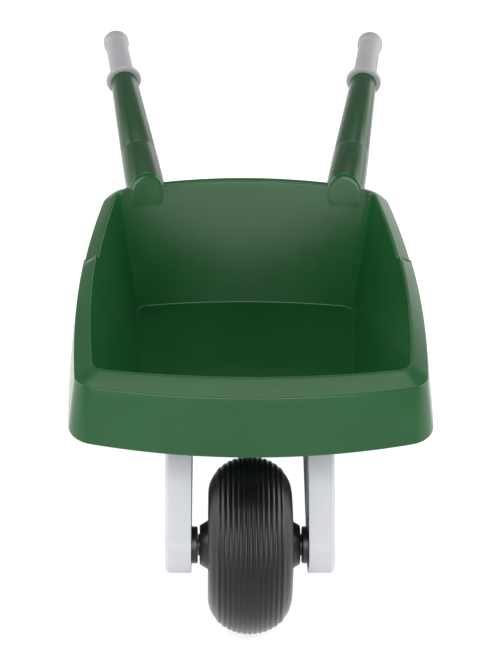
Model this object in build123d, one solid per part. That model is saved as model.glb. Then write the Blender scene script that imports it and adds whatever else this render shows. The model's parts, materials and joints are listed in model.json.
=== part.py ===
"""A child's plastic wheelbarrow: tub, two handles, two side frames with legs, and one wheel.

Millimetres, +Z up, +X to the right, +Y from the wheel towards the handles. The functions
measure Y from the axle; the export moves everything by AXLE_Y, which puts the origin on the
ground under the centre of the bounding box.
"""
from build123d import *
import math
import os

# ---- Driving dimensions -------------------------------------------------------------------
AXLE_Y = -298.9            # the axle's place in the finished frame
AXLE_HEIGHT = 85.0         # equals the tyre's radius
FIT_GAP = 0.1              # radial play between pieces that plug into each other

# Wheel, measured along X from its middle plane
TYRE_RADIUS = 85.0
TYRE_HALF_WIDTH = 40.0
TYRE_WALL = 4.0
TYRE_SECTION_CENTRE = 50.0  # radius at which the tyre is widest
RIB_COUNT = 13
RIB_PITCH = 5.0
RIB_HEIGHT = 1.2
BEAD_HALF_WIDTH = 31.0
BEAD_WIDTH = 6.0
DRUM_RADIUS = 46.0
HUB_WALL = 3.0
HUB_CONE_ROOT = (40.0, 23.5)   # (distance from the middle, radius)
HUB_CONE_END = (48.0, 18.7)
BUSH_RADIUS = 9.0
NECK_RADIUS = 10.5
NECK_END = 49.6
SPACER_START = 49.9
SPACER_RADIUS = 17.8
AXLE_RADIUS = 5.0
AXLE_PLAY = 0.06
HUB_SCREW_COUNT = 4
HUB_SCREW_CIRCLE = 31.0
HUB_SCREW_LENGTH = 48.0
HUB_WEB = 27.0             # from the middle to the web

# Side frames
ARM_INNER = 56.0
ARM_OUTER = 81.0
ARM_WALL = 3.0
ARM_END_RADIUS = 27.0
ARM_LEAN = 38.0            # degrees from vertical
RAIL_TOP = 146.0
RAIL_BOTTOM = 119.0
RAIL_BACK = 392.0
RAIL_FRONT_LOW = 150.0     # where the sloping lower edge becomes the rail
ARM_LOW_EDGE = (14.0, 64.0)    # a point the sloping lower edge aims at, below the axle
ARM_END_TURN = 35.0        # degrees below level of the rounded end's middle
ARM_TOP_RUN = 112.0        # length of the arm's straight front edge
RAIL_TOP_FRONT = 92.0      # where the top edge, under the tub's front wall, meets the rail
ARM_EDGE_RADIUS = 5.0
BOSS_WALL = 4.0
RIB_THICKNESS = 2.5
RAIL_RIB_STATIONS = (45.0, 150.0, 200.0, 250.0)
SCREW_RADIUS = 2.0
LUG_SCREW_LENGTH = 16.0
LEG_SCREW_LENGTH = 38.0

# Legs
LEG_WIDTH = 24.0
LEG_EDGE_RADIUS = 4.0
LEG_TOP_FRONT = 338.0
LEG_TOP_BACK = 392.0
LEG_FOOT_FRONT = 362.0
LEG_FOOT_BACK = 392.0
LEG_HEAD_HEIGHT = 112.0    # above this the leg is solid and bears on the rail
LEG_SCREW_PLACES = ((351.0, 132.0), (381.0, 132.0))
FOOT_CAP_HEIGHT = 16.0
FOOT_CAP_WALL = 2.5

# Cross bars between the side frames: (distance behind the axle, height)
FRONT_BAR = (138.0, 131.6)
REAR_BAR = (366.0, 132.0)
BAR_RADIUS = 8.0

# Tub
WALL = 3.0
BOWL_FILLET = 15.0
FLOOR_HEIGHT = 150.0
RIM_HEIGHT = 270.0         # of the raised front part of the rim, straight above the axle
RIM_TILT = 2.0             # degrees, rising towards the handles
RIM_STEP_Y = 238.0         # behind this the rim is lower
RIM_STEP = 5.0
SKIRT_DEPTH = 75.0
SKIRT_FLARE = 7.73         # degrees
SKIRT_CUT_HEIGHT = 213.0   # of the skirt's lower edge, straight above the axle
SKIRT_CUT_SLOPE = 11.3     # degrees
LIP_DEPTH = 12.0           # of the rim's turned-down lip at the back
LUG_INNER = 51.5
LUG_THICKNESS = 4.0
LUG_BOTTOM = 124.0
LUG_SPANS = ((92.0, 118.0), (300.0, 330.0))
LUG_SCREW_PLACES = ((98.0, 134.0), (315.0, 133.0))   # (distance behind the axle, height)

# Handles
HANDLE_ROOT = (112.4, 420.0, 279.5)
HANDLE_END = (156.4, 680.0, 357.0)
SPIGOT_START = -22.0
SPIGOT_END = 24.0
SLEEVE_START = -5.5
SLEEVE_END = 52.0
SLEEVE_RADII = (22.3, 20.6)
SLEEVE_SCREW_STATIONS = (10.0, 40.0)
SHAFT_TAIL = 26.0
SHAFT_RADII = (20.2, 15.6)
SHAFT_WALL = 2.6
SHAFT_CORE_RADIUS = 11.8
GRIP_START = 188.0
GRIP_LENGTH = 86.0
GRIP_BEAD_LENGTH = 14.0
GRIP_RADII = (14.1, 13.2)
GRIP_BEAD_RADIUS = 15.0
FLANGE_RADIUS = 20.8
FLANGE_THICKNESS = 5.0
GRIP_END_WALL = 4.0
HANDLE_SCREW_RADIUS = 1.8
HANDLE_SCREW_LENGTH = 9.0

SIDES = {"left": -1, "right": 1}


# ---- Helpers ------------------------------------------------------------------------------
def polygon(points, plane):
    """A flat face with the given corners in the plane's own coordinates."""
    return make_face(plane * Polyline(*points, close=True))


def side_plane(x):
    """A plane across X whose own axes are the world's Y and Z."""
    return Plane(origin=(x, 0, 0), x_dir=(0, 1, 0), z_dir=(1, 0, 0))


def across(face, width):
    """A face in a side plane made that wide towards +X."""
    return extrude(face, width, dir=(1, 0, 0))


def turned(points):
    """Turn a closed (distance, radius) outline round the wheel's axis."""
    outline = make_face(Polyline(*points, close=True))
    body = revolve(outline, Axis.X)
    return Pos(0, 0, AXLE_HEIGHT) * body


def cylinder_x(x_start, x_end, radius, y, z):
    """A cylinder along X."""
    length = x_end - x_start
    return Pos((x_start + x_end) / 2, y, z) * Rot(0, 90, 0) * Cylinder(radius, length)


def screw(length, shank_radius=2.0, head_radius=4.0, head_height=2.6):
    """A pan-head screw whose head sits above Z = 0 and whose shank goes down."""
    shank = Pos(0, 0, -length / 2) * Cylinder(shank_radius, length)
    head = Pos(0, 0, head_height / 2) * Cylinder(head_radius, head_height)
    head = fillet(head.edges().sort_by(Axis.Z)[-1], 1.2)
    slot = Pos(0, 0, head_height) * (Box(4.2, 0.9, 2.0) + Box(0.9, 4.2, 2.0))
    return shank + head - slot


def screw_along_x(x_head, direction, y, z, length):
    """A screw whose head stands at x_head and whose shank runs along X in that direction."""
    return Pos(x_head, y, z) * Rot(0, -90 * direction, 0) * screw(length)


# ---- Tub ----------------------------------------------------------------------------------
def rim_plane(drop):
    """The tilted plane of the rim, lowered by drop; its Y starts above the axle."""
    tilt = math.radians(RIM_TILT)
    return Plane(origin=(0, 0, RIM_HEIGHT - drop), x_dir=(1, 0, 0),
                 z_dir=(0, -math.sin(tilt), math.cos(tilt)))


def bowed_outline(plane, front, back, halves, bows, radii):
    """A rounded four-sided outline with bowed edges.

    halves are the half widths in front, halfway and at the back, bows how far the front and
    back edges bulge, and radii those of the front and back corners.
    """
    front_half, middle_half, back_half = halves
    y_front = front + bows[0]
    y_back = back - bows[1]
    y_middle = (y_front + y_back) / 2
    front_left, front_right = (-front_half, y_front), (front_half, y_front)
    back_left, back_right = (-back_half, y_back), (back_half, y_back)
    edges = [
        ThreePointArc(front_left, (0, front), front_right),
        ThreePointArc(front_right, (middle_half, y_middle), back_right),
        ThreePointArc(back_right, (0, back), back_left),
        ThreePointArc(back_left, (-middle_half, y_middle), front_left),
    ]
    face = make_face(Curve() + edges)
    corners = face.vertices().sort_by(Axis.Y)
    face = fillet(corners[:2], radii[0])
    corners = [v for v in face.vertices() if abs(v.Y - y_back) < 0.01]
    face = fillet(corners, radii[1])
    return plane * face


def rim_outline(drop, grow):
    """The rim's outer outline, grow wider on every side."""
    return bowed_outline(rim_plane(drop), -26.7 - 1.5 * grow, 426 + grow,
                         (161 + grow, 169.6 + grow, 154 + grow), (21.5, 32),
                         (22 + grow, 30 + grow))


def inner_outline(drop, grow):
    """The opening's outline in the rim's plane, grow wider on every side."""
    return bowed_outline(rim_plane(drop), 2.2 - grow, 417 + grow,
                         (146 + grow, 154.6 + grow, 140 + grow), (15, 26),
                         (14 + grow, 12 + grow))


def floor_outline(height, grow):
    """The outline of the tub's floor, grow wider on every side."""
    plane = Plane(origin=(0, 0, height), x_dir=(1, 0, 0), z_dir=(0, 0, 1))
    return bowed_outline(plane, 95 - grow, 380 + grow, (103 + grow, 114 + grow, 123 + grow),
                         (8, 12), (22 + grow, 20 + grow))


def below_skirt_edge():
    """Everything under the slanting lower edge of the skirt and under the back lip."""
    slab = Pos(0, 200, -100) * Box(600, 900, 200)
    slant = Pos(0, 0, SKIRT_CUT_HEIGHT) * Rot(SKIRT_CUT_SLOPE, 0, 0) * slab
    lip = Pos(0, 0, RIM_HEIGHT - RIM_STEP - LIP_DEPTH) * Rot(RIM_TILT, 0, 0) * slab
    return slant & lip


def rim_band(drop, y_from, y_to):
    """A flat ring round the opening, lowered by drop and kept between two stations."""
    ring = extrude(rim_outline(drop, 0) - inner_outline(drop, 0), -WALL)
    keep = Pos(0, (y_from + y_to) / 2, RIM_HEIGHT) * Box(400, y_to - y_from, 120)
    return ring & keep


def skirt():
    """The turned-down edge: deep in front, sloping up along the sides to a short back lip."""
    flare = SKIRT_DEPTH * math.tan(math.radians(SKIRT_FLARE))
    outside = loft([rim_outline(0, 0).face(), rim_outline(SKIRT_DEPTH, flare).face()])
    inside = loft([rim_outline(-1, -WALL).face(), rim_outline(SKIRT_DEPTH + 1, flare - WALL).face()])
    return outside - inside - below_skirt_edge() - rear_rim_space()


def handle_axis(side):
    """The plane at a handle's root, whose Z runs along the handle."""
    start = Vector(side * HANDLE_ROOT[0], HANDLE_ROOT[1], HANDLE_ROOT[2])
    end = Vector(side * HANDLE_END[0], HANDLE_END[1], HANDLE_END[2])
    return Plane(origin=start, x_dir=(1, 0, 0), z_dir=(end - start))


def spun(side, points):
    """Turn a closed (radius, station) outline round a handle's axis."""
    outline = make_face(Plane.XZ * Polyline(*points, close=True))
    return handle_axis(side) * revolve(outline, Axis.Z)


def taper(station, stations, radii):
    """The radius at a station of a cone between two stations."""
    share = (station - stations[0]) / (stations[1] - stations[0])
    return radii[0] + share * (radii[1] - radii[0])


def sleeve_bore(station):
    """The inner radius of a handle's lower sleeve."""
    return taper(station, (SLEEVE_START, SLEEVE_END), SLEEVE_RADII) - SHAFT_WALL


def spigot(side):
    """The tub's tapered spigot that a handle's lower sleeve slides over."""
    front = sleeve_bore(SPIGOT_START) - FIT_GAP
    back = sleeve_bore(SPIGOT_END) - FIT_GAP
    hollow = 3.2
    body = spun(side, [(0, SPIGOT_START), (front, SPIGOT_START), (back, SPIGOT_END),
                       (back - hollow, SPIGOT_END), (front - hollow, 4), (0, 4)])
    return body - handle_hole(side, SLEEVE_SCREW_STATIONS[0], HANDLE_SCREW_RADIUS, 8, 24)


def lug(side, y_front, y_back):
    """A flat lug under the tub, beside the inner face of a side frame."""
    x_low, x_high = sorted((side * LUG_INNER, side * (LUG_INNER + LUG_THICKNESS)))
    z_low = LUG_BOTTOM
    z_high = FLOOR_HEIGHT - WALL + 1.0
    block = Pos((x_low + x_high) / 2, (y_front + y_back) / 2, (z_low + z_high) / 2)
    block = block * Box(x_high - x_low, y_back - y_front, z_high - z_low)
    for y, z in LUG_SCREW_PLACES:
        block = block - cylinder_x(x_low - 1, x_high + 1, SCREW_RADIUS + FIT_GAP, y, z)
    return block


def rear_rim_space():
    """Everything above the lowered rear part of the rim."""
    rise = RIM_STEP_Y * math.tan(math.radians(RIM_TILT))
    step = Pos(0, RIM_STEP_Y, RIM_HEIGHT + rise - RIM_STEP) * Rot(RIM_TILT, 0, 0)
    return step * Pos(0, 200, 50) * Box(500, 400, 100)


def tub():
    """The whole tub as one moulding: bowl, stepped rim, skirt, spigots and mounting lugs."""
    shell = loft([floor_outline(FLOOR_HEIGHT - WALL, WALL).face(),
                  inner_outline(1, WALL).face()])
    shell = fillet(shell.faces().sort_by(Axis.Z)[0].edges(), BOWL_FILLET + WALL)
    shell = shell - rear_rim_space()
    shell = shell + rim_band(0, -60, RIM_STEP_Y)
    shell = shell + rim_band(WALL - 1, RIM_STEP_Y - WALL, RIM_STEP_Y)
    shell = shell + rim_band(RIM_STEP, RIM_STEP_Y - WALL, 460)
    shell = shell + skirt()
    for side in SIDES.values():
        shell = shell + spigot(side)
    cavity = loft([floor_outline(FLOOR_HEIGHT, 0).face(), inner_outline(0, 0).face()])
    cavity = fillet(cavity.faces().sort_by(Axis.Z)[0].edges(), BOWL_FILLET)
    shell = shell - cavity - loft([inner_outline(0, 0).face(), inner_outline(-40, 10).face()])
    for side in SIDES.values():
        for y_front, y_back in LUG_SPANS:
            shell = shell + lug(side, y_front, y_back)
    return shell


# ---- Handles ------------------------------------------------------------------------------
def handle_hole(side, station, radius, depth_from, depth_to):
    """A hole from below, square to a handle's axis, between two distances from the axis."""
    length = depth_to - depth_from
    bore = Pos(0, 0, -(depth_from + depth_to) / 2) * Cylinder(radius, length)
    return handle_axis(side) * Pos(0, 0, station) * Rot(90, 0, 0) * bore


def handle_sleeve(side):
    """The lower part of a handle: a tapered tube over the tub's spigot."""
    stations = (SLEEVE_START, SLEEVE_END)
    front, back = SLEEVE_RADII
    body = spun(side, [(sleeve_bore(stations[0]), stations[0]), (front, stations[0]),
                       (back, stations[1]), (sleeve_bore(stations[1]), stations[1])])
    for station in SLEEVE_SCREW_STATIONS:
        body = body - handle_hole(side, station, HANDLE_SCREW_RADIUS + FIT_GAP, 10, 30)
    return body


def handle_shaft(side):
    """The upper part of a handle: a tapered tube with a tail that plugs into the sleeve."""
    tail_start = SLEEVE_END - SHAFT_TAIL
    tail_radii = [sleeve_bore(s) - FIT_GAP for s in (tail_start, SLEEVE_END)]
    shoulder = GRIP_START - 0.2
    core_end = GRIP_START + GRIP_LENGTH - GRIP_END_WALL - 0.5
    hollow = SHAFT_CORE_RADIUS - SHAFT_WALL
    body = spun(side, [
        (tail_radii[0] - SHAFT_WALL, tail_start), (tail_radii[0], tail_start),
        (tail_radii[1], SLEEVE_END + FIT_GAP), (SHAFT_RADII[0], SLEEVE_END + FIT_GAP),
        (SHAFT_RADII[1], shoulder), (SHAFT_CORE_RADIUS, shoulder),
        (SHAFT_CORE_RADIUS, core_end), (hollow, core_end), (hollow, shoulder - 8)])
    return body - handle_hole(side, SLEEVE_SCREW_STATIONS[1], HANDLE_SCREW_RADIUS, 8, 24)


def grip(side):
    """A soft grip: flange, slightly tapered body and an end bead, closed at the end."""
    start = GRIP_START
    end = GRIP_START + GRIP_LENGTH
    bore = SHAFT_CORE_RADIUS + FIT_GAP
    bead_start = end - GRIP_BEAD_LENGTH
    body = spun(side, [
        (bore, start), (FLANGE_RADIUS - 1.5, start), (FLANGE_RADIUS, start + 1.5),
        (FLANGE_RADIUS, start + FLANGE_THICKNESS - 1.5),
        (FLANGE_RADIUS - 1.5, start + FLANGE_THICKNESS), (GRIP_RADII[0], start + FLANGE_THICKNESS),
        (GRIP_RADII[1], bead_start), (GRIP_BEAD_RADIUS, bead_start + 2.5),
        (GRIP_BEAD_RADIUS, end - 4), (GRIP_BEAD_RADIUS - 4, end), (0, end),
        (0, end - GRIP_END_WALL), (bore, end - GRIP_END_WALL)])
    return body


# ---- Side frames --------------------------------------------------------------------------
def arm_direction():
    """The (Y, Z) direction that the arm's front edge climbs in."""
    lean = math.radians(ARM_LEAN)
    return math.sin(lean), math.cos(lean)


def frame_outline():
    """The side view of a side frame, as corner points joined by the boss round the axle."""
    run_y, run_z = arm_direction()
    front = (-ARM_END_RADIUS * run_z, AXLE_HEIGHT + ARM_END_RADIUS * run_y)
    top = (front[0] + ARM_TOP_RUN * run_y, front[1] + ARM_TOP_RUN * run_z)
    low_slope = math.atan2(RAIL_BOTTOM - ARM_LOW_EDGE[1], RAIL_FRONT_LOW - ARM_LOW_EDGE[0])
    rear = (ARM_END_RADIUS * math.sin(low_slope),
            AXLE_HEIGHT - ARM_END_RADIUS * math.cos(low_slope))
    turn = math.radians(ARM_END_TURN)
    middle = (-ARM_END_RADIUS * math.cos(turn), AXLE_HEIGHT - ARM_END_RADIUS * math.sin(turn))
    edges = Curve() + [
        ThreePointArc(front, middle, rear),
        Polyline(rear, (RAIL_FRONT_LOW, RAIL_BOTTOM), (RAIL_BACK, RAIL_BOTTOM),
                 (RAIL_BACK, RAIL_TOP), (RAIL_TOP_FRONT, RAIL_TOP), top, front),
    ]
    return make_face(edges)


def between(side, inner, outer):
    """The low and high X of a span given by its distances from the middle plane."""
    return sorted((side * inner, side * outer))


def side_frame(side):
    """A fork arm and the rail behind it: a channel that is open towards the middle."""
    x_low, x_high = between(side, ARM_INNER, ARM_OUTER)
    block = across(side_plane(x_low) * frame_outline(), x_high - x_low)
    block = fillet(block.faces().sort_by(Axis.X)[-1 if side > 0 else 0].edges(), ARM_EDGE_RADIUS)
    x_low, x_high = between(side, ARM_INNER - 1, ARM_OUTER - ARM_WALL)
    pocket_outline = offset(frame_outline(), -ARM_WALL, kind=Kind.INTERSECTION)
    pocket = across(side_plane(x_low) * pocket_outline, x_high - x_low)
    x_low, x_high = between(side, ARM_INNER + 2, ARM_OUTER)
    bores = [(0, AXLE_HEIGHT, AXLE_RADIUS), (*FRONT_BAR, BAR_RADIUS), (*REAR_BAR, BAR_RADIUS)]
    screws = [(y, z, SCREW_RADIUS) for y, z in LUG_SCREW_PLACES + LEG_SCREW_PLACES]
    for y, z, radius in bores + screws:
        pocket = pocket - cylinder_x(x_low - 5, x_high + 5, radius + BOSS_WALL, y, z)
    for y in RAIL_RIB_STATIONS:
        pocket = pocket - Pos(0, y, RAIL_TOP) * Box(400, RIB_THICKNESS, 120)
    block = block - pocket
    for y, z, radius in bores:
        bore = cylinder_x(*between(side, ARM_INNER - 6, ARM_OUTER - 4), radius + FIT_GAP, y, z)
        block = block - bore
    for y, z in LUG_SCREW_PLACES:
        block = block - cylinder_x(*between(side, ARM_INNER - 6, ARM_OUTER - 4), SCREW_RADIUS, y, z)
    for y, z in LEG_SCREW_PLACES:
        block = block - cylinder_x(*between(side, ARM_INNER + 4, ARM_OUTER + 6), SCREW_RADIUS, y, z)
    return block


def leg_block(side, grow, z_top):
    """A leg's solid shape, grown sideways and cut off at a height."""
    x_low, x_high = between(side, ARM_OUTER + 0.2 - grow, ARM_OUTER + 0.2 + LEG_WIDTH + grow)
    share = (z_top - FOOT_CAP_WALL) / (RAIL_TOP - FOOT_CAP_WALL)
    y_top = LEG_FOOT_FRONT + share * (LEG_TOP_FRONT - LEG_FOOT_FRONT)
    corners = [(y_top - grow, z_top), (LEG_TOP_BACK + grow, z_top),
               (LEG_FOOT_BACK + grow, FOOT_CAP_WALL), (LEG_FOOT_FRONT - grow, FOOT_CAP_WALL)]
    return across(polygon(corners, side_plane(x_low)), x_high - x_low)


def leg(side):
    """A rear leg: solid where it bears on the rail, a channel open to the middle below."""
    block = leg_block(side, 0, RAIL_TOP)
    outer_face = block.faces().sort_by(Axis.X)[-1 if side > 0 else 0]
    block = fillet(outer_face.edges(), LEG_EDGE_RADIUS)
    x_low, x_high = between(side, ARM_OUTER - 1, ARM_OUTER + LEG_WIDTH - ARM_WALL)
    share = (LEG_HEAD_HEIGHT - FOOT_CAP_HEIGHT) / (RAIL_TOP - FOOT_CAP_WALL)
    y_low = LEG_FOOT_FRONT - 3 + ARM_WALL
    y_high = y_low + share * (LEG_TOP_FRONT - LEG_FOOT_FRONT)
    back = LEG_TOP_BACK - ARM_WALL
    corners = [(y_low, FOOT_CAP_HEIGHT + 4), (back, FOOT_CAP_HEIGHT + 4),
               (back, LEG_HEAD_HEIGHT), (y_high, LEG_HEAD_HEIGHT)]
    block = block - across(polygon(corners, side_plane(x_low)), x_high - x_low)
    for y, z in LEG_SCREW_PLACES:
        block = block - cylinder_x(*between(side, ARM_OUTER - 6, ARM_OUTER + 40),
                                   SCREW_RADIUS + FIT_GAP, y, z)
    return block


def foot_cap(side):
    """A soft cap pushed over the end of a leg."""
    x_middle = side * (ARM_OUTER + 0.2 + LEG_WIDTH / 2)
    y_low = LEG_FOOT_FRONT - 2 * FOOT_CAP_WALL - 1
    y_high = LEG_FOOT_BACK + FOOT_CAP_WALL
    cap = Box(LEG_WIDTH + 2 * FOOT_CAP_WALL, y_high - y_low, FOOT_CAP_HEIGHT)
    cap = fillet(cap.edges().filter_by(Axis.Z), 5)
    cap = Pos(x_middle, (y_low + y_high) / 2, FOOT_CAP_HEIGHT / 2) * cap
    return cap - leg_block(side, FIT_GAP, FOOT_CAP_HEIGHT + 6)


def cross_bar(place):
    """A round bar plugged into both side frames."""
    end = ARM_INNER + 11.5
    return cylinder_x(-end, end, BAR_RADIUS, *place)


# ---- Wheel --------------------------------------------------------------------------------
def tyre_crown(x):
    """The tyre's outer radius at a distance x from its middle, without the ribs."""
    rise = TYRE_RADIUS - RIB_HEIGHT - TYRE_SECTION_CENTRE
    return TYRE_SECTION_CENTRE + rise * math.sqrt(max(0.0, 1 - (x / TYRE_HALF_WIDTH) ** 2))


def tyre_ribs():
    """The crown's ribs as a row of small arcs, from the left edge to the right."""
    start = -RIB_COUNT * RIB_PITCH / 2
    ribs = []
    for index in range(RIB_COUNT):
        x_low = start + index * RIB_PITCH
        x_high = x_low + RIB_PITCH
        x_middle = (x_low + x_high) / 2
        ribs.append(ThreePointArc((x_low, tyre_crown(x_low)),
                                  (x_middle, tyre_crown(x_middle) + RIB_HEIGHT),
                                  (x_high, tyre_crown(x_high))))
    return ribs


def tyre_flank(side):
    """One flank of the tyre's section, from the last rib down to the tip of the bead."""
    x_end = RIB_COUNT * RIB_PITCH / 2
    x_shoulder = (x_end + TYRE_HALF_WIDTH) / 2 + 1.5
    bead_radius = DRUM_RADIUS + 0.1
    widest = (side * TYRE_HALF_WIDTH, TYRE_SECTION_CENTRE)
    bead = (side * BEAD_HALF_WIDTH, bead_radius)
    tip = (side * (BEAD_HALF_WIDTH - BEAD_WIDTH), bead_radius)
    return [ThreePointArc((side * x_end, tyre_crown(x_end)),
                          (side * x_shoulder, tyre_crown(x_shoulder)), widest),
            Line(widest, bead), Line(bead, tip)]


def tyre_inside():
    """The inner side of the tyre's section."""
    half = TYRE_HALF_WIDTH - TYRE_WALL
    top = TYRE_RADIUS - RIB_HEIGHT - TYRE_WALL
    tip_x = BEAD_HALF_WIDTH - BEAD_WIDTH
    low = TYRE_SECTION_CENTRE + 2
    bead_radius = DRUM_RADIUS + 0.1
    return [Line((tip_x, bead_radius), (half, low)), ThreePointArc((half, low), (0, top), (-half, low)),
            Line((-half, low), (-tip_x, bead_radius))]


def tyre():
    """The blow-moulded tyre: a ribbed crown over an open, C-shaped section."""
    outline = make_face(Curve() + tyre_ribs() + tyre_flank(1) + tyre_inside() + tyre_flank(-1))
    return Pos(0, 0, AXLE_HEIGHT) * revolve(outline, Axis.X)


def hub_half(side):
    """One half of the hub: drum, flange for the bead, web, and the cone round the bush."""
    bore = BUSH_RADIUS + FIT_GAP
    cone_root, cone_end = HUB_CONE_ROOT, HUB_CONE_END
    web = HUB_WEB
    points = [
        (0.1, DRUM_RADIUS), (BEAD_HALF_WIDTH - BEAD_WIDTH - 0.2, DRUM_RADIUS),
        (BEAD_HALF_WIDTH + 0.1, DRUM_RADIUS), (BEAD_HALF_WIDTH + 3.0, DRUM_RADIUS),
        (BEAD_HALF_WIDTH + 3.0, DRUM_RADIUS - HUB_WALL), (web + HUB_WALL, DRUM_RADIUS - HUB_WALL),
        (web + HUB_WALL, cone_root[1]), (cone_root[0], cone_root[1]), cone_end,
        (cone_end[0], bore), (0.1, bore), (0.1, bore + HUB_WALL), (web, bore + HUB_WALL),
        (web, DRUM_RADIUS - HUB_WALL), (0.1, DRUM_RADIUS - HUB_WALL)]
    body = turned([(side * x, r) for x, r in points])
    for y, z in hub_screw_places():
        boss = cylinder_x(*sorted((side * 0.1, side * (web + 1))), 5.0, y, z)
        body = body + boss
        body = body - cylinder_x(*sorted((side * -1, side * 40)), 1.7, y, z)
    return body


def hub_screw_places():
    """The (Y, Z) centres of the screws that join the hub's halves."""
    places = []
    for index in range(HUB_SCREW_COUNT):
        angle = math.radians(45 + 360 / HUB_SCREW_COUNT * index)
        places.append((HUB_SCREW_CIRCLE * math.cos(angle),
                       AXLE_HEIGHT + HUB_SCREW_CIRCLE * math.sin(angle)))
    return places


def hub_screws():
    """The screws that pull the hub's halves together, from the right."""
    group = Part()
    for y, z in hub_screw_places():
        group = group + Pos(30.1, y, z) * Rot(0, 90, 0) * screw(HUB_SCREW_LENGTH, 1.55, 3.4, 2.4)
    return group


def wheel_bush(side):
    """A flanged bush between the hub and the axle."""
    bore = AXLE_RADIUS + AXLE_PLAY
    points = [(18, bore), (NECK_END, bore), (NECK_END, NECK_RADIUS),
              (HUB_CONE_END[0] + 0.1, NECK_RADIUS), (HUB_CONE_END[0] + 0.1, BUSH_RADIUS),
              (18, BUSH_RADIUS)]
    return turned([(side * x, r) for x, r in points])


def spacer(side):
    """The disc between the wheel and a fork arm."""
    bore = AXLE_RADIUS + FIT_GAP
    points = [(SPACER_START, bore), (SPACER_START, SPACER_RADIUS - 1), (SPACER_START + 1, SPACER_RADIUS),
              (ARM_INNER - 0.1, SPACER_RADIUS), (ARM_INNER - 0.1, bore)]
    return turned([(side * x, r) for x, r in points])


def axle():
    """The steel axle, held in blind bores in both fork arms."""
    end = ARM_OUTER - 4.5
    bar = cylinder_x(-end, end, AXLE_RADIUS, 0, AXLE_HEIGHT)
    ends = [bar.edges().sort_by(Axis.X)[0], bar.edges().sort_by(Axis.X)[-1]]
    return chamfer(ends, 0.8)


# ---- Fasteners ----------------------------------------------------------------------------
def frame_screws():
    """The screws through the tub's lugs into the side frames."""
    group = Part()
    for side in SIDES.values():
        for y, z in LUG_SCREW_PLACES:
            group = group + screw_along_x(side * (LUG_INNER - 0.05), side, y, z, LUG_SCREW_LENGTH)
    return group


def leg_screws():
    """The screws through the legs into the rails."""
    group = Part()
    for side in SIDES.values():
        for y, z in LEG_SCREW_PLACES:
            head = side * (ARM_OUTER + LEG_WIDTH + 0.25)
            group = group + screw_along_x(head, -side, y, z, LEG_SCREW_LENGTH)
    return group


def handle_screws():
    """The screws from below that hold each handle's sleeve to the spigot and to the shaft."""
    group = Part()
    for side in SIDES.values():
        for station in SLEEVE_SCREW_STATIONS:
            radius = taper(station, (SLEEVE_START, SLEEVE_END), SLEEVE_RADII)
            one = Pos(0, 0, radius + 0.1) * screw(HANDLE_SCREW_LENGTH, HANDLE_SCREW_RADIUS, 3.4, 2.0)
            group = group + handle_axis(side) * Pos(0, 0, station) * Rot(-90, 0, 0) * one
    return group


# ---- Export -------------------------------------------------------------------------------
def all_parts():
    """Every node's name and its shape, with Y measured from the axle."""
    parts = {"tub": tub(), "front_cross_bar": cross_bar(FRONT_BAR),
             "rear_cross_bar": cross_bar(REAR_BAR), "axle": axle(), "tyre": tyre(),
             "hub_screws": hub_screws(), "frame_screws": frame_screws(),
             "leg_screws": leg_screws(), "handle_screws": handle_screws()}
    paired = {"handle_sleeve": handle_sleeve, "handle_shaft": handle_shaft, "grip": grip,
              "side_frame": side_frame, "leg": leg, "foot_cap": foot_cap,
              "hub_half": hub_half, "wheel_bush": wheel_bush, "axle_spacer": spacer}
    for name, build in paired.items():
        for side_name, side in SIDES.items():
            parts[side_name + "_" + name] = build(side)
    return parts


os.makedirs("parts", exist_ok=True)
for name, shape in all_parts().items():
    export_step(Pos(0, AXLE_Y, 0) * shape, "parts/" + name + ".step")
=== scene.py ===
"""A child's plastic wheelbarrow in a plain studio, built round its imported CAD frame.

The shape functions work in millimetres with Y measured from the axle, like the part's own
source, and place() turns their points into metres in the shared frame.
"""
import json
import math

import bpy
from mathutils import Matrix, Vector
from mathutils.bvhtree import BVHTree


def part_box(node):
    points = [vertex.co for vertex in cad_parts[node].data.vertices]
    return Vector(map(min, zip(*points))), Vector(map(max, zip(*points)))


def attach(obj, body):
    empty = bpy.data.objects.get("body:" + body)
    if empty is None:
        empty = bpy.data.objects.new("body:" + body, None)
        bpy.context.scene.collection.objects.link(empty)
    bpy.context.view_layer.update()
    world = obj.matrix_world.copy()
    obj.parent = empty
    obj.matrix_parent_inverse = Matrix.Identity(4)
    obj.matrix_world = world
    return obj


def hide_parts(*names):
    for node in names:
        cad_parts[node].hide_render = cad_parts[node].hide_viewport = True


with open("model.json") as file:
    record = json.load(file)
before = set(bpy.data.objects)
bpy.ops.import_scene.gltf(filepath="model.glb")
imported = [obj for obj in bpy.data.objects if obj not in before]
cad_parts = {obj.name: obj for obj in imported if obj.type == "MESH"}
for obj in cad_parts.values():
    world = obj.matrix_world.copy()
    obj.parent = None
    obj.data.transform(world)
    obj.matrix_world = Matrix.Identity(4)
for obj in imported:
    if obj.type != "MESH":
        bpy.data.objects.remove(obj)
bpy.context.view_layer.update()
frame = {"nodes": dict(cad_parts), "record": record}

# ---- Camera -------------------------------------------------------------------------------
CAMERA_PLACE = (-0.0335, -1.6963, 1.0737)
CAMERA_PITCH = 28.5        # degrees below level
CAMERA_YAW = 1.28          # degrees towards +X
CAMERA_ROLL = 0.73         # degrees, the picture's right side lower
CAMERA_LENS = 95.25

# ---- The wheelbarrow's own dimensions -----------------------------------------------------
TYRE_LOW, TYRE_HIGH = (Vector(corner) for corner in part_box("tyre"))
AXLE = (TYRE_LOW + TYRE_HIGH) / 2
AXLE_HEIGHT = AXLE.z * 1000

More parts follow.
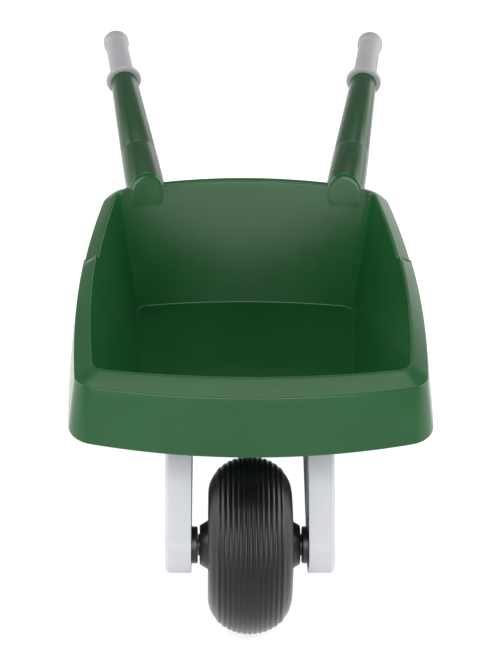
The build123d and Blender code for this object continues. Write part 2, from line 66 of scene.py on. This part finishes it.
# Outlines of the tub: where the front and back edges' middles lie, the half widths in front,
# halfway and at the back, how far the front and back edges bulge, and the corners' radii
RIM = {"front": -26.7, "front_growth": 1.5, "back": 426.0, "halves": (161.0, 169.6, 154.0),
       "bows": (21.5, 32.0), "radii": (22.0, 30.0)}
OPENING = {"front": 2.2, "front_growth": 1.0, "back": 417.0, "halves": (146.0, 154.6, 140.0),
           "bows": (15.0, 26.0), "radii": (14.0, 12.0)}
FLOOR = {"front": 95.0, "front_growth": 1.0, "back": 380.0, "halves": (103.0, 114.0, 123.0),
         "bows": (8.0, 12.0), "radii": (22.0, 16.0)}
FLOOR_HEIGHT = 150.0
FLOOR_CENTRE = Vector((0, 240))
FLOOR_RING_SHARE = 0.3     # how far the floor's inner ring lies towards its centre
BOWL_FILLET = 1.5
WALL = 3.0
RIM_HEIGHT = 270.0
RIM_SLOPE = math.tan(math.radians(2))
RIM_STEP_Y = 238.0
RIM_STEP_HALF = 1.0        # half the length over which the rim steps down
RIM_STEP = 5.0
RIM_BACK_STEP = 2.2        # how far the rear rim lies below the front one's plane at the back
RIM_FALL = 5.2             # how far the rim's top slopes down outwards
RIM_BACK_FALL = -0.8       # the same at the back, where it rises instead
RIM_BACK_SPAN = (385.0, 412.0)     # where the one changes into the other
RIM_BAND = 3.6             # width of the flat band along the opening
RIM_BAND_FALL = 0.3
RIM_FLARE = 1.5            # how far the raised rim's inner edge leans out beside the step
RIM_FLARE_SPAN = (60.0, 225.0)
WALL_BREAK_SHARE = 0.04    # a point of the rear wall just under the rim, as a share of its height
# Radii of a tub section's corners, from the floor over the rim and back under the floor
SECTION_RADII = (BOWL_FILLET, 4.0, 1.3, 2.5, 1.5, 0.9, 0.9, 1.5, 2.0, BOWL_FILLET + WALL)
SKIRT_FLARE = math.tan(math.radians(7.73))
SKIRT_CUT_HEIGHT = 213.0
SKIRT_CUT_SLOPE = math.tan(math.radians(11.3))
LIP_DEPTH = 12.0

HANDLE_ROOT = (112.4, 420.0, 278.0)
HANDLE_END = (156.4, 680.0, 357.0)
HANDLE_SEGMENTS = 96
SLEEVE_END = 52.0
SLEEVE_RADII = (21.4, 20.3)
SLEEVE_BORE = 18.6
SLEEVE_SQUARE_START = 4.0  # the first station where a ring is square to the handle
SHAFT_RADII = (20.1, 15.6)
SHAFT_TAIL_RADIUS = 17.5
SHAFT_CORE_RADIUS = 11.8
GRIP_START = 188.0
GRIP_END = 274.0
GRIP_BORE = 12.0
GRIP_RADII = (14.2, 13.2)
FLANGE_RADIUS = 20.8
FLANGE_THICKNESS = 5.4
BEAD_RADIUS = 15.2
BEAD_START = 16.0          # before the grip's end
BEAD_FULL = 12.5           # before the grip's end, where the bead has its full radius
EAR_ROUNDING = 4.2
EAR_ROUNDING_STEPS = 8
EAR_SINK = 0.32            # how far an ear's hidden lower half lies inside the back wall
EAR_SINK_SPAN = (34.0, 6.0)        # below the rim, where the ear comes out of the wall
EAR_PROUD = 0.15           # how far its face stands in front of the wall
EAR_REACH = 80.0           # from in front of the back wall to the handle's root

TYRE_RADIUS = 85.0
TYRE_HALF_WIDTH = 40.0
TYRE_WALL = 4.0
TYRE_SECTION_CENTRE = 50.0
TYRE_BEAD_RADIUS = 46.3
TYRE_BEAD_EDGE = 31.0
TYRE_BEAD_TIP = 25.0
TYRE_INSIDE_TOP = 8.0      # from the crown to the top of the inside
TYRE_INSIDE_SAG = 14.0     # how much lower the inside is at TYRE_INSIDE_EDGE
TYRE_INSIDE_EDGE = 30
TYRE_INSIDE_STEP = 10
TYRE_SEGMENTS = 224
SHOULDER_STEPS = 16
RIB_COUNT = 13
RIB_PITCH = 5.0
RIB_HEIGHT = 1.2
RIB_STEPS = 8
RIB_FULLNESS = 0.8         # below 1 a rib's section is fuller than a sine

CROWD_STEPS = 24           # steps of the closer columns beside the rim's step
CROWD_CLEARANCE = 0.55     # share of the crowd's width that is kept free of other columns
STRAIGHT_REACH = 1.0       # spacing of the points where a section runs straight on
SOFTEN_STEPS = 6
TURNED_SOFTEN_STEPS = 5

# ---- Studio -------------------------------------------------------------------------------
LIGHT_TARGET = (0, -0.05, 0.25)
# Name, azimuth from +Y towards +X, elevation, distance, size and radiance of each soft box
SOFT_BOXES = (
    ("front", 185, 11, 3.0, (3.4, 1.2), 1.3),
    ("above_camera", 186, 33, 3.0, (2.6, 1.8), 4.4),
    ("right_back", 20, 14, 3.0, (3.6, 0.9), 1.2),
    ("overhead", -10, 70, 3.0, (2.4, 1.2), 1.6),
    ("left_side", -85, 22, 2.4, (2.4, 1.8), 3.2),
    ("right_side", 82, 22, 2.4, (2.4, 1.8), 3.8),
)
# Height of a direction above the horizon and the studio's brightness there
WORLD_STOPS = ((0.0, 1.0), (0.13, 0.95), (0.27, 0.26), (0.45, 0.42), (1.0, 0.2))
FLOOR_SIZE = 14
FLOOR_GLOW = 0.5
FLOOR_GLOW_SPAN = (-1.0, -0.45)    # the glow fades out between these Y, in front of the wheel

SIDES = {"left": -1, "right": 1}


def place(point):
    """A shape point in millimetres as a place in the shared frame."""
    return (point[0] / 1000, AXLE.y + point[1] / 1000, point[2] / 1000)


# ---- Mesh helpers -------------------------------------------------------------------------
def make_object(name, verts, faces, material, body, slot, nodes):
    """A smooth object from points in millimetres, tied to a body and CAD nodes; slot is not used."""
    mesh = bpy.data.meshes.new(name)
    mesh.from_pydata([place(v) for v in verts], [], faces)
    mesh.validate()
    for face in mesh.polygons:
        face.use_smooth = True
    mesh.materials.append(material)
    piece = bpy.data.objects.new(name, mesh)
    bpy.context.scene.collection.objects.link(piece)
    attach(piece, body)
    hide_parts(*nodes)
    return piece


def grid_faces(rows, columns, start=0, closed=True):
    """Quads between consecutive rings of points; closed joins each ring's ends."""
    faces = []
    span = columns if closed else columns - 1
    for row in range(rows - 1):
        low = start + row * columns
        high = low + columns
        for column in range(span):
            after = (column + 1) % columns
            faces.append((low + column, low + after, high + after, high + column))
    return faces


def soften(points, radii, steps=SOFTEN_STEPS):
    """Round the inner corners of a 3-D polyline with arcs of the given radii."""
    points = [Vector(p) for p in points]
    rounded = [points[0]]
    for before, corner, after, radius in zip(points, points[1:], points[2:], radii):
        back = before - corner
        ahead = after - corner
        if radius <= 0 or back.length < 1e-4 or ahead.length < 1e-4:
            rounded.append(corner)
            continue
        half = back.angle(ahead) / 2
        reach = max(radius / math.tan(max(half, 0.05)), STRAIGHT_REACH)
        reach = min(reach, back.length * 0.48, ahead.length * 0.48)
        first = corner + back.normalized() * reach
        last = corner + ahead.normalized() * reach
        weight = math.sin(half)
        for step in range(steps + 1):
            t = step / steps
            shares = ((1 - t) ** 2, 2 * t * (1 - t) * weight, t ** 2)
            total = sum(shares)
            rounded.append((first * shares[0] + corner * shares[1] + last * shares[2]) / total)
    rounded.append(points[-1])
    return rounded


def lathe(axis_place, outline, segments):
    """Turn (radius, station) points; axis_place(station, radius, angle) gives the point."""
    verts = []
    for radius, station in outline:
        for segment in range(segments):
            verts.append(axis_place(station, radius, 2 * math.pi * segment / segments))
    faces = grid_faces(len(outline), segments)
    return verts, faces


def rounded_outline(outline, radii, steps=TURNED_SOFTEN_STEPS):
    """Round the corners of a (radius, station) outline."""
    flat = soften([(r, s, 0) for r, s in outline], radii, steps)
    return [(p.x, p.y) for p in flat]


# ---- The tub's outlines -------------------------------------------------------------------
def circle_through(a, b, c):
    """The centre and radius of the circle through three points."""
    d = 2 * (a.x * (b.y - c.y) + b.x * (c.y - a.y) + c.x * (a.y - b.y))
    aa, bb, cc = a.length_squared, b.length_squared, c.length_squared
    x = (aa * (b.y - c.y) + bb * (c.y - a.y) + cc * (a.y - b.y)) / d
    y = (aa * (c.x - b.x) + bb * (a.x - c.x) + cc * (b.x - a.x)) / d
    centre = Vector((x, y))
    return centre, (a - centre).length


def corner_centre(first, second, radius, near):
    """The centre of a corner arc inside two circles, next to a point."""
    (c1, r1), (c2, r2) = first, second
    r1 -= radius
    r2 -= radius
    gap = (c2 - c1).length
    along = (r1 * r1 - r2 * r2 + gap * gap) / (2 * gap)
    height = math.sqrt(max(0.0, r1 * r1 - along * along))
    foot = c1 + (c2 - c1) * along / gap
    side = Vector((-(c2 - c1).y, (c2 - c1).x)) / gap
    options = [foot + side * height, foot - side * height]
    return min(options, key=lambda option: (option - near).length)


def arc(centre, start, end, shares):
    """Points along the short arc from start to end."""
    first = math.atan2(start.y - centre.y, start.x - centre.x)
    last = math.atan2(end.y - centre.y, end.x - centre.x)
    turn = (last - first + math.pi) % (2 * math.pi) - math.pi
    radius = (start - centre).length
    return [centre + radius * Vector((math.cos(first + turn * t), math.sin(first + turn * t)))
            for t in shares]


def even(count):
    """Even shares from 0 up to, but without, 1."""
    return [step / count for step in range(count)]


def crowded(count, middle, width):
    """Even shares with a crowd of closer ones round a middle share."""
    crowd = [middle + width * (step / CROWD_STEPS - 0.5) for step in range(CROWD_STEPS + 1)]
    return sorted([t for t in even(count) if abs(t - middle) > width * CROWD_CLEARANCE] + crowd)


FRONT_SHARES = even(36)
CORNER_SHARES = even(12)
SIDE_SHARES = crowded(60, 0.636, 0.05)     # the crowd lies at the rim's step
BACK_SHARES = even(60)


def bowed_outline(front, back, halves, bows, radii):
    """The right half of a rounded outline, from the front's middle to the back's middle."""
    y_front = front + bows[0]
    y_back = back - bows[1]
    y_middle = (y_front + y_back) / 2
    ends = [Vector((halves[0], y_front)), Vector((halves[2], y_back))]
    fore = circle_through(Vector((-halves[0], y_front)), Vector((0, front)), ends[0])
    flank = circle_through(ends[0], Vector((halves[1], y_middle)), ends[1])
    rear = circle_through(Vector((-halves[2], y_back)), Vector((0, back)), ends[1])
    corners = []
    for pair, radius, end in ((fore, flank), radii[0], ends[0]), ((flank, rear), radii[1], ends[1]):
        centre = corner_centre(pair[0], pair[1], radius, end)
        touch = [c + (centre - c) * r / (centre - c).length for c, r in pair]
        corners.append((centre, touch[0], touch[1]))
    points = arc(fore[0], Vector((0, front)), corners[0][1], FRONT_SHARES)
    points += arc(corners[0][0], corners[0][1], corners[0][2], CORNER_SHARES)
    points += arc(flank[0], corners[0][2], corners[1][1], SIDE_SHARES)
    points += arc(corners[1][0], corners[1][1], corners[1][2], CORNER_SHARES)
    points += arc(rear[0], corners[1][2], Vector((0, back)), BACK_SHARES + [1.0])
    return points


def grown_outline(shape, grow):
    """The right half of one of the tub's outlines, grown on every side."""
    return bowed_outline(shape["front"] - shape["front_growth"] * grow, shape["back"] + grow,
                         [half + grow for half in shape["halves"]], shape["bows"],
                         [radius + grow for radius in shape["radii"]])


def smooth_step(value, low, high):
    """0 below low, 1 above high, an S between."""
    t = min(1.0, max(0.0, (value - low) / (high - low)))
    return t * t * (3 - 2 * t)


def behind_step(y):
    """0 in front of the rim's step, 1 behind it."""
    return smooth_step(y, RIM_STEP_Y - RIM_STEP_HALF, RIM_STEP_Y + RIM_STEP_HALF)


def rim_height(y):
    """The height of the rim's inner edge at a distance y behind the axle."""
    share = (y - RIM_STEP_Y) / (OPENING["back"] - RIM_STEP_Y)
    drop = RIM_STEP + (RIM_BACK_STEP - RIM_STEP) * share
    return RIM_HEIGHT + y * RIM_SLOPE - drop * behind_step(y)


def skirt_edge(y):
    """The height of the skirt's lower edge."""
    slant = SKIRT_CUT_HEIGHT + y * SKIRT_CUT_SLOPE
    lip = RIM_HEIGHT - RIM_STEP - LIP_DEPTH + y * RIM_SLOPE
    return min(slant, lip)


def lift(point, z):
    """A flat point at a height."""
    return Vector((point.x, point.y, z))


def crease_height(y):
    """The height of the rim's outer crease."""
    fall = RIM_FALL + (RIM_BACK_FALL - RIM_FALL) * smooth_step(y, *RIM_BACK_SPAN)
    return rim_height(y) - fall


def wall_break(floor, inner):
    """Where the wall breaks under the rim: at the raised rim's foot, or just under the rear rim."""
    top = rim_height(inner.y)
    under_front = lift(inner, top - RIM_STEP)
    under_rear = lift(inner, top).lerp(lift(floor, FLOOR_HEIGHT), WALL_BREAK_SHARE)
    return under_front.lerp(under_rear, behind_step(inner.y))


def tub_column(floor, inner, rim, floor_out, inner_out, rim_out):
    """One section of the tub, from the floor over the rim and back under the floor.

    The last three points are the same ones on outlines that are a millimetre wider.
    """
    outward = inner_out - inner
    top = rim_height(inner.y)
    flare = RIM_FLARE * smooth_step(inner.y, *RIM_FLARE_SPAN) * (1 - behind_step(inner.y))
    band = inner + (rim - inner).normalized() * (RIM_BAND + flare)
    crease = crease_height(rim.y)
    low = skirt_edge(rim.y)
    low_outer = rim + (rim_out - rim) * SKIRT_FLARE * (crease - low)
    inward = (rim - rim_out) * WALL
    floor_ring = floor + (FLOOR_CENTRE - floor) * FLOOR_RING_SHARE
    points = [
        lift(floor_ring, FLOOR_HEIGHT),
        lift(floor, FLOOR_HEIGHT),
        wall_break(floor, inner),
        lift(inner + outward * flare, top),
        lift(band, rim_height(band.y) - RIM_BAND_FALL),
        lift(rim, crease),
        lift(low_outer, low),
        lift(low_outer + inward, low),
        lift(rim + inward, crease - WALL),
        lift(inner + outward * WALL, min(top, crease) - WALL),
        lift(floor + (floor_out - floor) * WALL, FLOOR_HEIGHT - WALL),
        lift(floor_ring, FLOOR_HEIGHT - WALL)]
    return soften(points, SECTION_RADII)


def both_halves(half_columns):
    """All columns round the tub: the right half and its mirror image."""
    mirrored = [[Vector((-p.x, p.y, p.z)) for p in column] for column in half_columns[1:-1]]
    return half_columns + mirrored[::-1]


def tub_shell():
    """The bowl, rim and skirt as one closed grid of points and faces."""
    outlines = [grown_outline(shape, grow) for grow in (0, 1) for shape in (FLOOR, OPENING, RIM)]
    columns = both_halves([tub_column(*points) for points in zip(*outlines)])
    rows = len(columns[0])
    verts = [column[row] for row in range(rows) for column in columns]
    faces = grid_faces(rows, len(columns))
    faces.append(tuple(range(len(columns)))[::-1])
    faces.append(tuple(range((rows - 1) * len(columns), rows * len(columns))))
    return verts, [face[::-1] for face in faces]


def wall_sheet():
    """The back wall as a sheet that goes on above the rim, for the ears to end on."""
    pairs = list(zip(grown_outline(FLOOR, 0), grown_outline(OPENING, 0)))[-len(BACK_SHARES) - 1:]
    half = [(lift(f, FLOOR_HEIGHT), lift(i, rim_height(i.y))) for f, i in pairs]
    full = half + [[Vector((-p.x, p.y, p.z)) for p in pair] for pair in half[-2::-1]]
    rows = (0, 0.5, 1, 1.5)
    verts = [low + (high - low) * share for share in rows for low, high in full]
    return BVHTree.FromPolygons(verts, grid_faces(len(rows), len(full), closed=False))


def handle_axis(side):
    """A handle's root, its direction and two directions square to it."""
    root = Vector((side * HANDLE_ROOT[0], HANDLE_ROOT[1], HANDLE_ROOT[2]))
    end = Vector((side * HANDLE_END[0], HANDLE_END[1], HANDLE_END[2]))
    along = (end - root).normalized()
    sideways = along.cross(Vector((0, 0, 1))).normalized()
    return root, along, sideways, sideways.cross(along)


def wall_hits(side, sheet, radius):
    """Where lines along a handle, at a radius round it, meet the back wall's sheet."""
    root, along, sideways, up = handle_axis(side)
    hits = []
    for segment in range(HANDLE_SEGMENTS):
        angle = 2 * math.pi * segment / HANDLE_SEGMENTS
        spoke = sideways * math.cos(angle) + up * math.sin(angle)
        hits.append(sheet.ray_cast(root + spoke * radius - along * EAR_REACH, along)[0])
    return hits


def slanted_ring(side, sheet, radius, behind):
    """A ring round a handle that lies some way behind the back wall's sheet."""
    along = handle_axis(side)[1]
    return [hit + along * behind for hit in wall_hits(side, sheet, radius)]


def ear_ring(side, sheet, radius, behind):
    """One ring of an ear; its lower part is sunk into the back wall."""
    along = handle_axis(side)[1]
    ring = []
    for hit in wall_hits(side, sheet, radius):
        rim = rim_height(hit.y)
        sunk = EAR_SINK * (1 - smooth_step(hit.z, rim - EAR_SINK_SPAN[0], rim - EAR_SINK_SPAN[1]))
        ring.append(hit + along * (behind + sunk))
    return ring


def ear(side, sheet, start):
    """The rounded ear of the back wall where a handle begins, cut off flush with the wall."""
    flat = SLEEVE_RADII[0] - EAR_ROUNDING
    sizes = [(radius, -EAR_PROUD) for radius in (0.5, flat * 0.35, flat * 0.7, flat)]
    for step in range(1, EAR_ROUNDING_STEPS + 1):
        angle = math.pi / 2 * step / EAR_ROUNDING_STEPS
        sizes.append((flat + EAR_ROUNDING * math.sin(angle),
                      EAR_ROUNDING * (1 - math.cos(angle)) - EAR_PROUD))
    sizes += [(SLEEVE_RADII[0] - 0.1, EAR_ROUNDING + 1), (SLEEVE_RADII[0] * 0.5, EAR_ROUNDING + 2)]
    verts = [point for radius, behind in sizes for point in ear_ring(side, sheet, radius, behind)]
    last = start + len(verts) - HANDLE_SEGMENTS
    faces = grid_faces(len(sizes), HANDLE_SEGMENTS, start)
    faces.append(tuple(range(start, start + HANDLE_SEGMENTS))[::-1])
    faces.append(tuple(range(last, last + HANDLE_SEGMENTS)))
    return verts, faces


def make_tub(material):
    """The tub with its two ears as one object."""
    verts, faces = tub_shell()
    sheet = wall_sheet()
    for side in SIDES.values():
        more_verts, more_faces = ear(side, sheet, len(verts))
        verts += more_verts
        faces += more_faces
    make_object("tub_shell", verts, faces, material, "frame", "green_plastic", ["tub"])


# ---- Handles ------------------------------------------------------------------------------
def turned_on_handle(side, outline, radii):
    """Points and faces of a piece turned round a handle's axis."""
    root, along, sideways, up = handle_axis(side)

    def spot(station, radius, angle):
        """A point at a station along the handle."""
        spoke = sideways * math.cos(angle) + up * math.sin(angle)
        return root + along * station + spoke * radius

    return lathe(spot, rounded_outline(outline, radii), HANDLE_SEGMENTS)


def sleeve(side, sheet):
    """A handle's lower sleeve, from the ear's slanted back edge to the seam."""
    verts = slanted_ring(side, sheet, SLEEVE_RADII[0], EAR_ROUNDING - 0.1)
    verts += slanted_ring(side, sheet, SLEEVE_RADII[0], EAR_ROUNDING + 3)
    outline = [(SLEEVE_RADII[0], SLEEVE_SQUARE_START), (SLEEVE_RADII[1], SLEEVE_END),
               (SLEEVE_BORE, SLEEVE_END), (SLEEVE_BORE, SLEEVE_SQUARE_START + 6)]
    verts += turned_on_handle(side, outline, [0.4, 0.2])[0]
    return verts, grid_faces(len(verts) // HANDLE_SEGMENTS, HANDLE_SEGMENTS)


def shaft(side):
    """A handle's upper shaft, with the tail inside the sleeve and the core inside the grip."""
    shoulder = GRIP_START - 0.2
    core_end = GRIP_END - 5
    outline = [(SHAFT_TAIL_RADIUS, SLEEVE_END - 8), (SHAFT_TAIL_RADIUS, SLEEVE_END + 0.1),
               (SHAFT_RADII[0], SLEEVE_END + 0.1), (SHAFT_RADII[1], shoulder),
               (SHAFT_CORE_RADIUS, shoulder), (SHAFT_CORE_RADIUS, core_end), (1, core_end)]
    return turned_on_handle(side, outline, [0.2, 0.4, 0.8, 0.3, 1])


def hold(side):
    """A grip: flange, tapered body and end bead."""
    flange_end = GRIP_START + FLANGE_THICKNESS
    outline = [(GRIP_BORE, GRIP_START + 1), (GRIP_BORE, GRIP_START), (FLANGE_RADIUS, GRIP_START),
               (FLANGE_RADIUS, flange_end), (GRIP_RADII[0], flange_end),
               (GRIP_RADII[1], GRIP_END - BEAD_START), (BEAD_RADIUS, GRIP_END - BEAD_FULL),
               (BEAD_RADIUS, GRIP_END), (0.5, GRIP_END)]
    return turned_on_handle(side, outline, [0.2, 2.2, 2.2, 2.0, 3.0, 3.0, 5.0])


def make_handles(green, grey):
    """Sleeves, shafts and grips."""
    sheet = wall_sheet()
    for name, side in SIDES.items():
        # green here is the handles' darker green, which carries painted shade.
        make_object(name + "_sleeve", *sleeve(side, sheet), green, "frame", "green_plastic",
                    [name + "_handle_sleeve"])
        make_object(name + "_shaft", *shaft(side), green, "frame", "green_plastic",
                    [name + "_handle_shaft"])
        make_object(name + "_hold", *hold(side), grey, "frame", "grip_rubber", [name + "_grip"])


# ---- Wheel --------------------------------------------------------------------------------
def tyre_crown(x):
    """The tyre's outer radius at a distance from its middle, without the ribs."""
    rise = TYRE_RADIUS - RIB_HEIGHT - TYRE_SECTION_CENTRE
    return TYRE_SECTION_CENTRE + rise * math.sqrt(max(0.0, 1 - (x / TYRE_HALF_WIDTH) ** 2))


def on_wheel(station, radius, angle):
    """A point on the wheel."""
    return Vector((station, radius * math.cos(angle), AXLE_HEIGHT + radius * math.sin(angle)))


def tyre_shoulder():
    """(radius, station) points from the tyre's widest place on the left to its first rib."""
    points = []
    edge = RIB_COUNT * RIB_PITCH / 2
    for step in range(SHOULDER_STEPS + 1):
        angle = math.pi / 2 * step / SHOULDER_STEPS
        x = -TYRE_HALF_WIDTH + (TYRE_HALF_WIDTH - edge) * (1 - math.cos(angle))
        points.append((tyre_crown(x), x))
    return points


def tyre_ribs():
    """(radius, station) points over the crown's ribs, from left to right."""
    points = []
    edge = RIB_COUNT * RIB_PITCH / 2
    for step in range(1, RIB_COUNT * RIB_STEPS):
        x = -edge + step * RIB_PITCH / RIB_STEPS
        phase = (step % RIB_STEPS) / RIB_STEPS
        rise = RIB_HEIGHT * math.sin(math.pi * phase) ** RIB_FULLNESS
        points.append((tyre_crown(x) + rise, x))
    return points


def tyre_inside():
    """(radius, station) points along the tyre's inside, from right to left."""
    low = TYRE_SECTION_CENTRE + 2
    half = TYRE_HALF_WIDTH - TYRE_WALL
    points = [(low, half)]
    for x in range(TYRE_INSIDE_EDGE, -TYRE_INSIDE_EDGE - 1, -TYRE_INSIDE_STEP):
        sag = TYRE_INSIDE_SAG * (x / TYRE_INSIDE_EDGE) ** 2
        points.append((TYRE_RADIUS - TYRE_INSIDE_TOP - sag, x))
    points.append((low, -half))
    return points


def make_tyre(material):
    """The ribbed tyre, open towards the hub."""
    tip = (TYRE_BEAD_RADIUS, -TYRE_BEAD_TIP)
    left = [tip, (TYRE_BEAD_RADIUS, -TYRE_BEAD_EDGE)] + tyre_shoulder()
    right = [(radius, -x) for radius, x in left[::-1]]
    outline = left + tyre_ribs() + right + tyre_inside() + [tip]
    verts, faces = lathe(on_wheel, outline, TYRE_SEGMENTS)
    make_object("ribbed_tyre", verts, faces, material, "wheel", "tyre_plastic", ["tyre"])


# ---- Materials ----------------------------------------------------------------------------
class Recipe:
    """A procedural material built round one Principled shader."""

    def __init__(self, name):
        self.material = bpy.data.materials.new(name)
        self.material.use_nodes = True
        self.tree = self.material.node_tree
        self.shader = self.tree.nodes["Principled BSDF"]
        self.coords = self.add("ShaderNodeTexCoord").outputs["Object"]

    def add(self, kind, **settings):
        """A node with settings."""
        node = self.tree.nodes.new(kind)
        for key, value in settings.items():
            setattr(node, key, value)
        return node

    def join(self, source, target):
        """A link."""
        self.tree.links.new(source, target)

    def noise(self, scale, detail=3.0, roughness=0.5):
        """A noise value on the object's own coordinates."""
        node = self.add("ShaderNodeTexNoise")
        node.inputs["Scale"].default_value = scale
        node.inputs["Detail"].default_value = detail
        node.inputs["Roughness"].default_value = roughness
        self.join(self.coords, node.inputs["Vector"])
        return node.outputs["Fac"]

    def ramp(self, value, stops):
        """A colour ramp over a value."""
        node = self.add("ShaderNodeValToRGB")
        elements = node.color_ramp.elements
        while len(elements) < len(stops):
            elements.new(0.5)
        for element, (position, colour) in zip(elements, stops):
            element.position = position
            element.color = (*colour, 1)
        self.join(value, node.inputs["Fac"])
        return node.outputs["Color"]

    def span(self, value, low, high):
        """A value from 0…1 stretched between low and high."""
        node = self.add("ShaderNodeMapRange")
        node.inputs["To Min"].default_value = low
        node.inputs["To Max"].default_value = high
        self.join(value, node.inputs["Value"])
        return node.outputs["Result"]

    def bump(self, value, strength, distance):
        """A bump from a height value."""
        node = self.add("ShaderNodeBump")
        node.inputs["Strength"].default_value = strength
        node.inputs["Distance"].default_value = distance
        self.join(value, node.inputs["Height"])
        self.join(node.outputs["Normal"], self.shader.inputs["Normal"])


def plastic(name, dark, light, roughness, mottling, grain, grain_depth, gloss=0.5):
    """Moulded plastic: a mottled colour, uneven gloss and a fine grain."""
    recipe = Recipe(name)
    recipe.join(recipe.ramp(recipe.noise(mottling, 5), [(0.3, dark), (0.7, light)]),
                recipe.shader.inputs["Base Color"])
    recipe.join(recipe.span(recipe.noise(mottling * 6, 4), roughness[0], roughness[1]),
                recipe.shader.inputs["Roughness"])
    recipe.shader.inputs["Specular IOR Level"].default_value = gloss
    recipe.bump(recipe.noise(grain, 3, 0.6), 0.25, grain_depth)
    return recipe.material


def make_materials():
    """The materials by slot name."""
    green = plastic("green_plastic", (0.006, 0.060, 0.014), (0.009, 0.072, 0.019), (0.16, 0.24),
                    14, 900, 0.00006, 0.4)
    # The handles' green is the tub's green painted darker: painted shade for the dimmer light on the
    # handles.
    handle = plastic("handle_green_painted_shade", (0.005, 0.036, 0.009), (0.007, 0.044, 0.012), (0.22, 0.3),
                     14, 900, 0.00006, 0.55)
    silver = plastic("silver_plastic", (0.42, 0.43, 0.455), (0.46, 0.47, 0.495), (0.36, 0.46),
                     16, 1300, 0.00008)
    grey = plastic("grip_rubber", (0.25, 0.25, 0.262), (0.285, 0.285, 0.298), (0.42, 0.52),
                   20, 1600, 0.00012)
    tyre = plastic("tyre_plastic", (0.003, 0.003, 0.0035), (0.006, 0.006, 0.0065), (0.24, 0.34),
                   18, 700, 0.0001, 0.3)
    black = plastic("black_plastic", (0.008, 0.008, 0.009), (0.013, 0.013, 0.014), (0.28, 0.38),
                    20, 1100, 0.00008)
    rubber = plastic("black_rubber", (0.012, 0.012, 0.012), (0.022, 0.022, 0.022), (0.55, 0.7),
                     24, 900, 0.0001)
    steel = plastic("steel", (0.45, 0.45, 0.46), (0.58, 0.58, 0.59), (0.22, 0.34), 30, 1500, 0.00004)
    steel.node_tree.nodes["Principled BSDF"].inputs["Metallic"].default_value = 1
    return {"handle_green_painted_shade": handle, "green_plastic": green, "silver_plastic": silver,
            "grip_rubber": grey, "tyre_plastic": tyre, "black_plastic": black,
            "black_rubber": rubber, "steel": steel}


def finish_nodes(by_slot):
    """Give every CAD node the material of its slot."""
    for part in frame["record"]["subparts"]:
        node = frame["nodes"][part["node"]]
        node.data.materials.clear()
        node.data.materials.append(by_slot[part["material_slot"]])


# ---- Camera, floor and light --------------------------------------------------------------
def make_camera():
    """The camera in front of the wheel, looking down at the tub."""
    data = bpy.data.cameras.new("camera")
    data.sensor_width = 36
    data.lens = CAMERA_LENS
    data.clip_start = 0.01
    camera = bpy.data.objects.new("camera", data)
    aim = Matrix.Rotation(math.radians(-CAMERA_YAW), 4, "Z")
    aim = aim @ Matrix.Rotation(math.radians(90 - CAMERA_PITCH), 4, "X")
    aim = aim @ Matrix.Rotation(math.radians(CAMERA_ROLL), 4, "Z")
    camera.matrix_world = Matrix.Translation(CAMERA_PLACE) @ aim
    bpy.context.scene.collection.objects.link(camera)
    bpy.context.scene.camera = camera


def make_floor():
    """A wide pale floor whose glow fades out in front of the wheelbarrow."""
    bpy.ops.mesh.primitive_plane_add(size=FLOOR_SIZE, location=(0, 0, -0.0005))
    floor = bpy.context.object
    floor.name = "floor"
    recipe = Recipe("floor")
    shades = [(0.3, (0.62, 0.62, 0.62)), (0.7, (0.64, 0.64, 0.64))]
    recipe.join(recipe.ramp(recipe.noise(6, 2), shades), recipe.shader.inputs["Base Color"])
    recipe.shader.inputs["Roughness"].default_value = 0.9
    place_y = recipe.add("ShaderNodeSeparateXYZ")
    recipe.join(recipe.coords, place_y.inputs["Vector"])
    share = recipe.add("ShaderNodeMapRange")
    share.inputs["From Min"].default_value = FLOOR_GLOW_SPAN[0]
    share.inputs["From Max"].default_value = FLOOR_GLOW_SPAN[1]
    recipe.join(place_y.outputs["Y"], share.inputs["Value"])
    recipe.join(recipe.ramp(share.outputs["Result"], [(0.0, (0, 0, 0)), (1.0, (1, 1, 1))]),
                recipe.shader.inputs["Emission Color"])
    recipe.shader.inputs["Emission Strength"].default_value = FLOOR_GLOW
    floor.data.materials.append(recipe.material)


def soft_box(name, azimuth, elevation, distance, size, radiance):
    """A soft box seen from the tub in that direction; azimuth runs from +Y towards +X."""
    turn = math.radians(azimuth)
    climb = math.radians(elevation)
    target = Vector(LIGHT_TARGET)
    toward = Vector((math.sin(turn) * math.cos(climb), math.cos(turn) * math.cos(climb),
                     math.sin(climb)))
    data = bpy.data.lights.new(name, "AREA")
    data.shape = "RECTANGLE"
    data.size, data.size_y = size
    data.energy = radiance * math.pi * size[0] * size[1]
    light = bpy.data.objects.new(name, data)
    light.location = target + toward * distance
    light.rotation_euler = (-toward).to_track_quat("-Z", "Y").to_euler()
    bpy.context.scene.collection.objects.link(light)


def make_world():
    """A studio that is bright near the horizon and dark overhead."""
    world = bpy.data.worlds.new("studio")
    bpy.context.scene.world = world
    world.use_nodes = True
    nodes, links = world.node_tree.nodes, world.node_tree.links
    coords = nodes.new("ShaderNodeTexCoord")
    split = nodes.new("ShaderNodeSeparateXYZ")
    ramp = nodes.new("ShaderNodeValToRGB")
    links.new(coords.outputs["Generated"], split.inputs["Vector"])
    links.new(split.outputs["Z"], ramp.inputs["Fac"])
    while len(ramp.color_ramp.elements) < len(WORLD_STOPS):
        ramp.color_ramp.elements.new(0.5)
    for element, (position, level) in zip(ramp.color_ramp.elements, WORLD_STOPS):
        element.position = position
        element.color = (level, level, level, 1)
    links.new(ramp.outputs["Color"], nodes["Background"].inputs["Color"])
    nodes["Background"].inputs["Strength"].default_value = 1.0


def make_lights():
    """Studio light."""
    make_world()
    for box in SOFT_BOXES:
        soft_box(*box)


bpy.context.scene.view_settings.view_transform = "Standard"
make_camera()
MATERIALS = make_materials()
finish_nodes(MATERIALS)
make_tub(MATERIALS["green_plastic"])
make_handles(MATERIALS["handle_green_painted_shade"], MATERIALS["grip_rubber"])
make_tyre(MATERIALS["tyre_plastic"])
make_floor()
make_lights()
